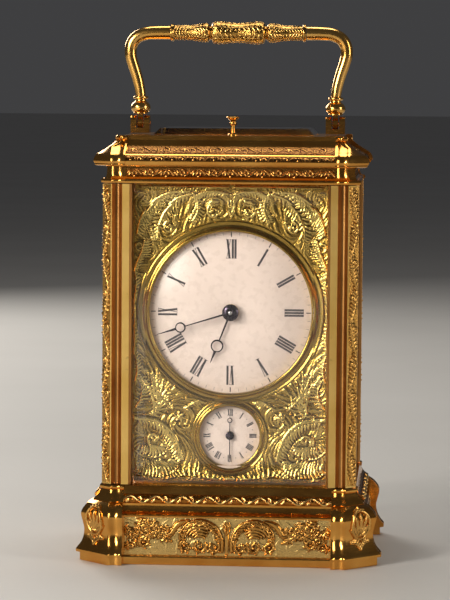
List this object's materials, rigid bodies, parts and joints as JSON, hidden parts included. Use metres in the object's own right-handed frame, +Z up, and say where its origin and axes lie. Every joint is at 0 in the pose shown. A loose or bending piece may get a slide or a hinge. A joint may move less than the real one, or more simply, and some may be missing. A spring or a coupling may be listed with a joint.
{
  "type": "carriage clock",
  "caption": "Repeating carriage clock in a moulded four-pillar case with engraved dial mask, alarm dial, bevelled glasses, swinging bail handle and rear door.",
  "frame": {"origin": "on the ground, at the middle of the base", "axes": "+Z up, the dial faces -Y, +X to the viewer's right"},
  "size_m": [0.1032, 0.0914, 0.1822],
  "materials": {
    "gilt_brass": "engraved and polished gilding",
    "brass": "fine brushed",
    "steel": "polished",
    "blued_steel": "heat-blued",
    "enamel": "fired white enamel",
    "glass": "polished and bevelled"
  },
  "bodies": {
    "case": {"base_frame": "gilt_brass", "base_plate": "brass", "pillar_front_left": "gilt_brass", "pillar_front_right": "gilt_brass", "pillar_rear_left": "gilt_brass", "pillar_rear_right": "gilt_brass", "top_frame": "gilt_brass", "top_glass": "glass", "front_glass": "glass", "left_glass": "glass", "right_glass": "glass", "handle_lug_left": "gilt_brass", "handle_lug_right": "gilt_brass", "handle_pin_left": "steel", "handle_pin_right": "steel", "dial_mask": "gilt_brass", "main_dial": "enamel", "alarm_dial": "enamel", "main_bezel": "gilt_brass", "alarm_bezel": "gilt_brass", "front_plate": "brass", "back_plate": "brass", "movement_pillar_1": "brass", "movement_pillar_2": "brass", "movement_pillar_3": "brass", "movement_pillar_4": "brass", "platform": "brass", "balance_cock": "brass", "gong": "blued_steel"},
    "handle": {"handle_arm_left": "gilt_brass", "handle_arm_right": "gilt_brass", "handle_grip": "gilt_brass"},
    "door": {"door_frame": "gilt_brass", "door_glass": "glass", "door_knob": "gilt_brass"},
    "button": {"repeat_button": "gilt_brass"},
    "repeat_rocker": {"repeat_lever": "steel"},
    "minute_work": {"centre_wheel": "brass", "cannon_pinion": "steel", "minute_hand": "blued_steel"},
    "hour_work": {"hour_wheel": "brass", "hour_hand": "blued_steel"},
    "minute_wheel_body": {"minute_wheel": "brass"},
    "second_wheel_body": {"second_wheel": "brass"},
    "third_wheel_body": {"third_wheel": "brass"},
    "contrate_body": {"contrate_wheel": "brass"},
    "escape_body": {"escape_wheel": "brass"},
    "going_barrel_body": {"going_barrel": "brass"},
    "going_arbor": {"going_winding_arbor": "steel"},
    "strike_arbor": {"strike_winding_arbor": "steel"},
    "strike_barrel_body": {"strike_barrel": "brass"},
    "strike_second_body": {"strike_second_wheel": "brass"},
    "pin_wheel_body": {"pin_wheel": "brass"},
    "fly_body": {"fly": "steel"},
    "balance": {"balance_wheel": "brass", "hairspring": "steel"},
    "lever": {"pallet_lever": "steel"},
    "alarm": {"alarm_hand": "blued_steel", "alarm_arbor": "steel"},
    "hammer_body": {"hammer": "steel"}
  },
  "joints": [
    {"name": "handle_swing", "type": "hinge", "parent": "case", "child": "handle", "pos_m": [0, 0, 0.1472], "axis": [1, 0, 0], "range_deg": [-85, 85]},
    {"name": "door_swing", "type": "hinge", "parent": "case", "child": "door", "pos_m": [0.031, 0.0346, 0.077], "axis": [0, 0, 1], "range_deg": [-95, 0]},
    {"name": "repeat_press", "type": "slide", "parent": "case", "child": "button", "axis": [0, 0, -1], "range_m": [0, 0.002], "stiffness_N_per_m": 200, "springref_m": -0.001},
    {"name": "repeat_rock", "type": "hinge", "parent": "case", "child": "repeat_rocker", "pos_m": [0.014, -0.0238, 0.108], "axis": [0, 1, 0], "range_deg": [-9, 0]},
    {"name": "centre_turn", "type": "hinge", "parent": "case", "child": "minute_work", "pos_m": [0, 0, 0.0841], "axis": [0, 1, 0], "continuous": true},
    {"name": "hour_turn", "type": "hinge", "parent": "case", "child": "hour_work", "pos_m": [0, 0, 0.0841], "axis": [0, 1, 0], "continuous": true},
    {"name": "minute_wheel_turn", "type": "hinge", "parent": "case", "child": "minute_wheel_body", "pos_m": [0.00617, 0, 0.07675], "axis": [0, 1, 0], "continuous": true},
    {"name": "second_turn", "type": "hinge", "parent": "case", "child": "second_wheel_body", "pos_m": [-0.00923, 0, 0.07079], "axis": [0, 1, 0], "continuous": true},
    {"name": "going_barrel_turn", "type": "hinge", "parent": "case", "child": "going_barrel_body", "pos_m": [-0.0158, 0, 0.055], "axis": [0, 1, 0], "continuous": true},
    {"name": "third_turn", "type": "hinge", "parent": "case", "child": "third_wheel_body", "pos_m": [-0.00873, 0, 0.09367], "axis": [0, 1, 0], "continuous": true},
    {"name": "contrate_turn", "type": "hinge", "parent": "case", "child": "contrate_body", "pos_m": [-0.006, 0, 0.1035], "axis": [0, 1, 0], "continuous": true},
    {"name": "escape_turn", "type": "hinge", "parent": "case", "child": "escape_body", "pos_m": [-0.006, -0.00111, 0.1157], "axis": [0, 0, 1], "continuous": true},
    {"name": "going_winding", "type": "hinge", "parent": "case", "child": "going_arbor", "pos_m": [-0.0158, 0, 0.055], "axis": [0, 1, 0], "continuous": true},
    {"name": "strike_winding", "type": "hinge", "parent": "case", "child": "strike_arbor", "pos_m": [0.0158, 0, 0.055], "axis": [0, 1, 0], "continuous": true},
    {"name": "strike_barrel_turn", "type": "hinge", "parent": "case", "child": "strike_barrel_body", "pos_m": [0.0158, 0, 0.055], "axis": [0, 1, 0], "continuous": true},
    {"name": "strike_second_turn", "type": "hinge", "parent": "case", "child": "strike_second_body", "pos_m": [0.00923, 0, 0.07079], "axis": [0, 1, 0], "continuous": true},
    {"name": "pin_wheel_turn", "type": "hinge", "parent": "case", "child": "pin_wheel_body", "pos_m": [0.01622, 0, 0.0844], "axis": [0, 1, 0], "continuous": true},
    {"name": "fly_turn", "type": "hinge", "parent": "case", "child": "fly_body", "pos_m": [0.016, 0, 0.094], "axis": [0, 1, 0], "continuous": true},
    {"name": "balance_swing", "type": "hinge", "parent": "case", "child": "balance", "pos_m": [0.0068, -0.00111, 0.1182], "axis": [0, 0, 1], "range_deg": [-270, 270], "stiffness_Nm_per_rad": 0.000008, "deforming": ["hairspring"]},
    {"name": "pallet_rock", "type": "hinge", "parent": "case", "child": "lever", "pos_m": [-0.0001, -0.00111, 0.1157], "axis": [0, 0, 1], "range_deg": [-4, 4]},
    {"name": "alarm_turn", "type": "hinge", "parent": "case", "child": "alarm", "pos_m": [0, 0, 0.0423], "axis": [0, 1, 0], "continuous": true},
    {"name": "hammer_swing", "type": "hinge", "parent": "case", "child": "hammer_body", "pos_m": [0.024, 0, 0.034], "axis": [0, 1, 0], "range_deg": [-1, 8], "stiffness_Nm_per_rad": 0.01}
  ],
  "couplings": [
    {"joint": "hour_turn", "follows": "centre_turn", "ratio": 0.083333},
    {"joint": "minute_wheel_turn", "follows": "centre_turn", "ratio": -0.33333},
    {"joint": "second_turn", "follows": "centre_turn", "ratio": -0.2},
    {"joint": "going_barrel_turn", "follows": "centre_turn", "ratio": 0.025},
    {"joint": "third_turn", "follows": "centre_turn", "ratio": -8},
    {"joint": "contrate_turn", "follows": "centre_turn", "ratio": 60},
    {"joint": "escape_turn", "follows": "centre_turn", "ratio": 480},
    {"joint": "strike_second_turn", "follows": "strike_barrel_turn", "ratio": -8},
    {"joint": "pin_wheel_turn", "follows": "strike_barrel_turn", "ratio": 60},
    {"joint": "fly_turn", "follows": "strike_barrel_turn", "ratio": -540},
    {"joint": "repeat_rock", "follows": "repeat_press", "rad_per_m": -71.429}
  ]
}
